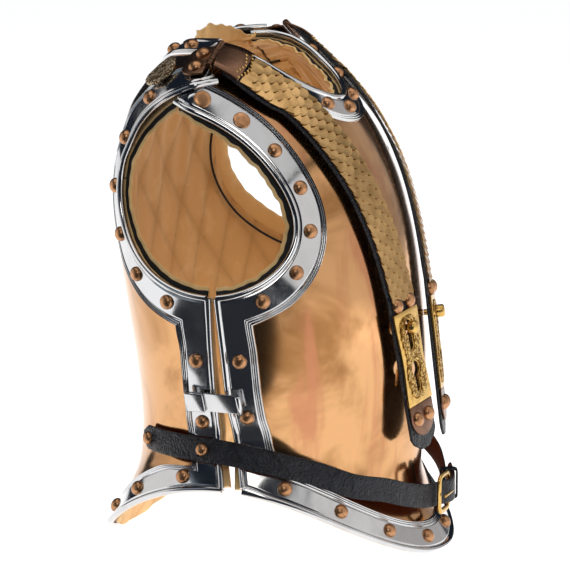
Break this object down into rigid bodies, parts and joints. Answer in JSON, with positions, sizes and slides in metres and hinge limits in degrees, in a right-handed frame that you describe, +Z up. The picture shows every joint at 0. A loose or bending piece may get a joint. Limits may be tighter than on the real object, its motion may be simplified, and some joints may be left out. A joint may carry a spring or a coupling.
{
  "type": "cuirass",
  "caption": "Heavy cavalry officer's cuirass: brass-faced breast and back plates, steel borders, scaled shoulder straps, waist strap.",
  "frame": {"origin": "under the middle of the cuirass, on the surface its lower rims stand on", "axes": "+Z up, the wearer's front towards -Y, the wearer's right towards -X"},
  "size_m": [0.3518, 0.3272, 0.4698],
  "materials": {
    "plate_brass": "polished, tarnished",
    "border_steel": "polished",
    "gilt_brass": "gilt, worn",
    "scale_brass": "polished, darkened between the scales",
    "stud_copper": "polished copper alloy",
    "dark_bronze": "browned",
    "strap_leather": "black, waxed",
    "lining_leather": "tan, quilted"
  },
  "bodies": {
    "root": {"back_arm_border_left": "border_steel", "back_arm_border_right": "border_steel", "back_lining": "lining_leather", "back_neck_border": "border_steel", "back_side_border_left": "border_steel", "back_side_border_right": "border_steel", "back_waist_border": "border_steel", "backplate": "plate_brass", "breast_arm_border_left": "border_steel", "breast_arm_border_right": "border_steel", "breast_lining": "lining_leather", "breast_neck_border": "border_steel", "breast_side_border_left": "border_steel", "breast_side_border_right": "border_steel", "breast_waist_border": "border_steel", "breastplate": "plate_brass", "buckle_keeper": "strap_leather", "buckle_prong": "gilt_brass", "side_clip_bracket_left": "border_steel", "side_clip_bracket_right": "border_steel", "side_clip_tongue_left": "border_steel", "side_clip_tongue_right": "border_steel", "slotted_plate_left": "gilt_brass", "slotted_plate_right": "gilt_brass", "strap_anchor_plate_left": "dark_bronze", "strap_anchor_plate_right": "dark_bronze", "strap_anchor_stud_inner_left": "stud_copper", "strap_anchor_stud_inner_right": "stud_copper", "strap_anchor_stud_outer_left": "stud_copper", "strap_anchor_stud_outer_right": "stud_copper", "strap_button_left": "gilt_brass", "strap_button_right": "gilt_brass", "strap_end_plate_left": "stud_copper", "strap_end_plate_right": "stud_copper", "strap_hinge_left": "dark_bronze", "strap_hinge_right": "dark_bronze", "strap_leather_left": "strap_leather", "strap_leather_right": "strap_leather", "strap_lower_stud_inner_left": "stud_copper", "strap_lower_stud_inner_right": "stud_copper", "strap_lower_stud_outer_left": "stud_copper", "strap_lower_stud_outer_right": "stud_copper", "strap_ornament_left": "gilt_brass", "strap_ornament_right": "gilt_brass", "strap_root_plate_left": "dark_bronze", "strap_root_plate_right": "dark_bronze", "strap_scales_left": "scale_brass", "strap_scales_right": "scale_brass", "strap_upper_stud_inner_left": "stud_copper", "strap_upper_stud_inner_right": "stud_copper", "strap_upper_stud_outer_left": "stud_copper", "strap_upper_stud_outer_right": "stud_copper", "waist_buckle": "gilt_brass", "waist_strap_back_stud_left": "stud_copper", "waist_strap_back_stud_right": "stud_copper", "waist_strap_left": "strap_leather", "waist_strap_right": "strap_leather", "waist_strap_side_stud_left": "stud_copper", "waist_strap_side_stud_right": "stud_copper"}
  },
  "joints": []
}
